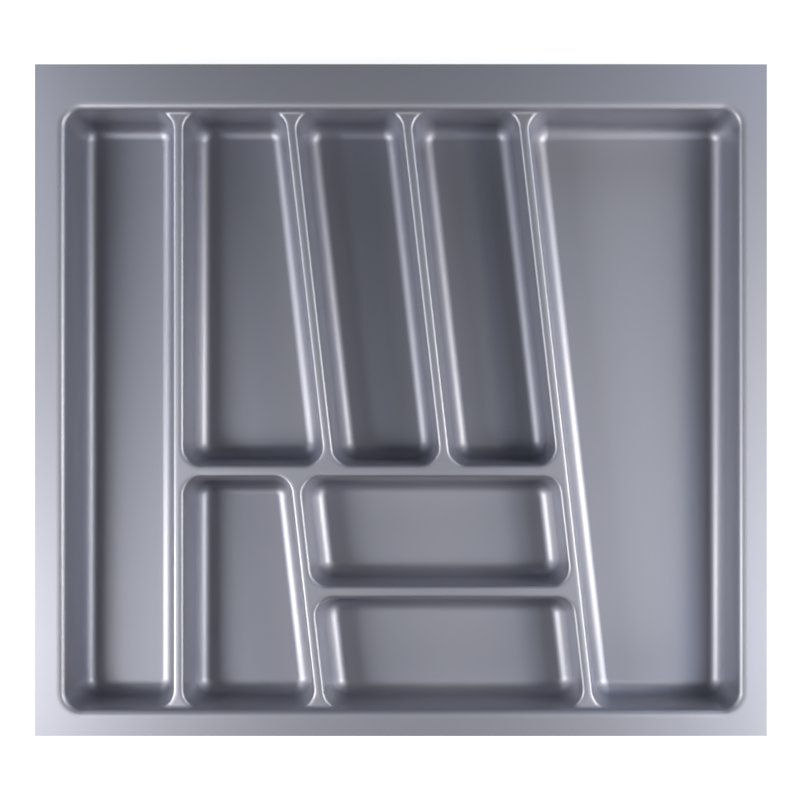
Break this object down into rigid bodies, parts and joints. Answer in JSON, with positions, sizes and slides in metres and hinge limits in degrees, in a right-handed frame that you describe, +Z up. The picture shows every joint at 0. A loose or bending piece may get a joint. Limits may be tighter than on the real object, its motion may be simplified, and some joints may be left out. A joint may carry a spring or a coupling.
{
  "type": "cutlery tray",
  "caption": "Shallow drawer tray formed from one sheet, with straight, slanted and crosswise pans and a flat flange that is trimmed to fit the drawer.",
  "frame": {"origin": "under the middle of the tray, on the plane the pans rest on", "axes": "+X to the right as seen from the front of the drawer, +Y to the back of the drawer, +Z up"},
  "size_m": [0.535, 0.491, 0.05],
  "materials": {
    "tray_sheet": "satin silver-grey vacuum-formed polystyrene with a fine metallic flake"
  },
  "bodies": {
    "root": {"formed_tray": "tray_sheet"}
  },
  "joints": []
}
